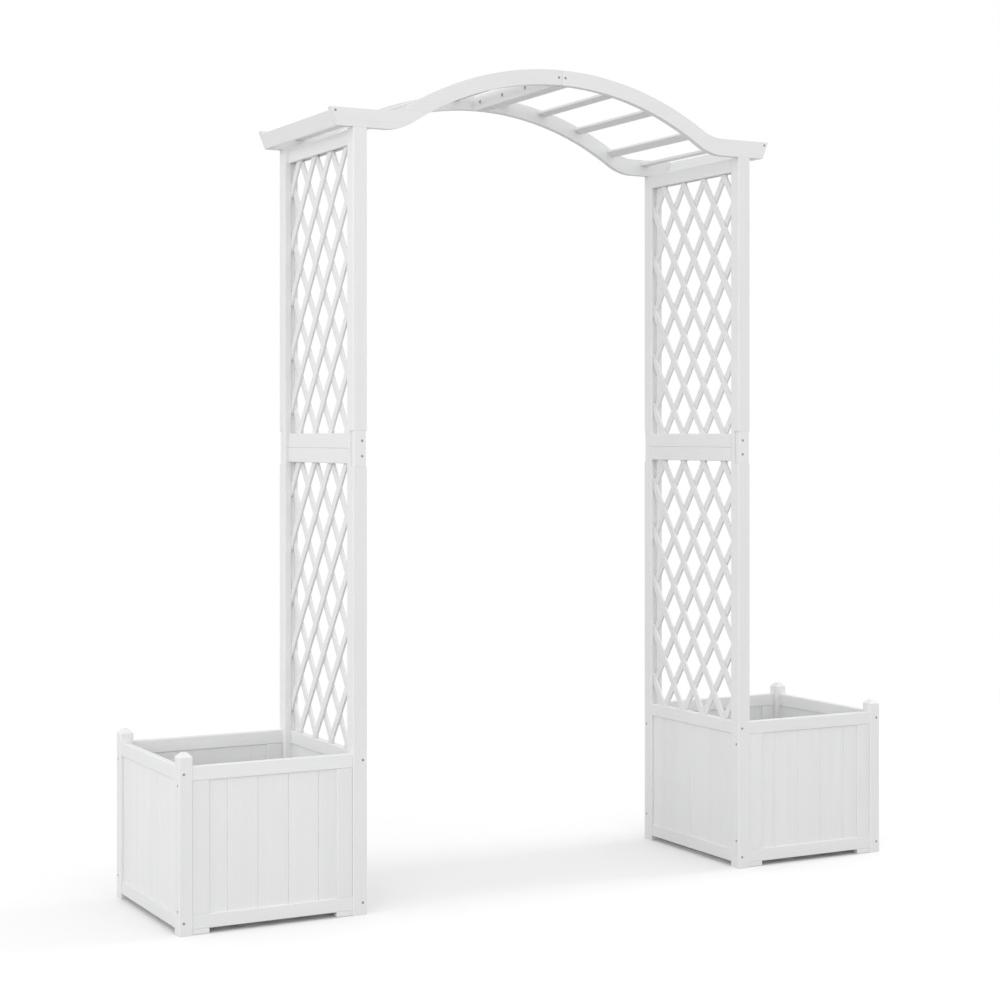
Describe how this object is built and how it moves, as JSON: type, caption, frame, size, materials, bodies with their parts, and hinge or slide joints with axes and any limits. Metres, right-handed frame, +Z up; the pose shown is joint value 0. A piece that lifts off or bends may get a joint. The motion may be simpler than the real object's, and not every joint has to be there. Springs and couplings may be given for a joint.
{
  "type": "garden arbor with planters",
  "caption": "White painted timber garden arbor: an arched, slatted top carried by lattice towers that rise from square boarded planters on either side of the walk-through.",
  "frame": {"origin": "on the ground, in the middle of the walk-through, at the bottom centre of the whole object", "axes": "+Z up, +X along the arch to the right seen from the front, +Y from the front to the back"},
  "size_m": [2.145, 0.494, 2.1945],
  "materials": {
    "painted_wood": "satin white paint over planed softwood, faint grain and knots showing through",
    "yellow_zinc": "yellow zinc plate"
  },
  "bodies": {
    "root": {"arch_beam_back_left": "painted_wood", "arch_beam_back_right": "painted_wood", "arch_beam_front_left": "painted_wood", "arch_beam_front_right": "painted_wood", "arch_screws": "yellow_zinc", "arch_slats_left": "painted_wood", "arch_slats_right": "painted_wood", "beam_screws": "yellow_zinc", "crown_board_left": "painted_wood", "crown_board_right": "painted_wood", "crown_bolts": "yellow_zinc", "end_boards": "painted_wood", "left_back_panel_boards": "painted_wood", "left_back_panel_rails": "painted_wood", "left_back_panel_stiles": "painted_wood", "left_base_cleats": "painted_wood", "left_base_slats": "painted_wood", "left_foot_blocks": "painted_wood", "left_front_panel_boards": "painted_wood", "left_front_panel_rails": "painted_wood", "left_front_panel_stiles": "painted_wood", "left_inner_panel_boards": "painted_wood", "left_inner_panel_rails": "painted_wood", "left_lattice_rails": "painted_wood", "left_lower_lattice": "painted_wood", "left_lower_post_back": "painted_wood", "left_lower_post_front": "painted_wood", "left_outer_panel_boards": "painted_wood", "left_outer_panel_rails": "painted_wood", "left_short_post_back": "painted_wood", "left_short_post_front": "painted_wood", "left_splice_plates": "painted_wood", "left_tower_screws": "yellow_zinc", "left_upper_lattice": "painted_wood", "left_upper_post_back": "painted_wood", "left_upper_post_front": "painted_wood", "right_back_panel_boards": "painted_wood", "right_back_panel_rails": "painted_wood", "right_back_panel_stiles": "painted_wood", "right_base_cleats": "painted_wood", "right_base_slats": "painted_wood", "right_foot_blocks": "painted_wood", "right_front_panel_boards": "painted_wood", "right_front_panel_rails": "painted_wood", "right_front_panel_stiles": "painted_wood", "right_inner_panel_boards": "painted_wood", "right_inner_panel_rails": "painted_wood", "right_lattice_rails": "painted_wood", "right_lower_lattice": "painted_wood", "right_lower_post_back": "painted_wood", "right_lower_post_front": "painted_wood", "right_outer_panel_boards": "painted_wood", "right_outer_panel_rails": "painted_wood", "right_short_post_back": "painted_wood", "right_short_post_front": "painted_wood", "right_splice_plates": "painted_wood", "right_tower_screws": "yellow_zinc", "right_upper_lattice": "painted_wood", "right_upper_post_back": "painted_wood", "right_upper_post_front": "painted_wood"}
  },
  "joints": []
}
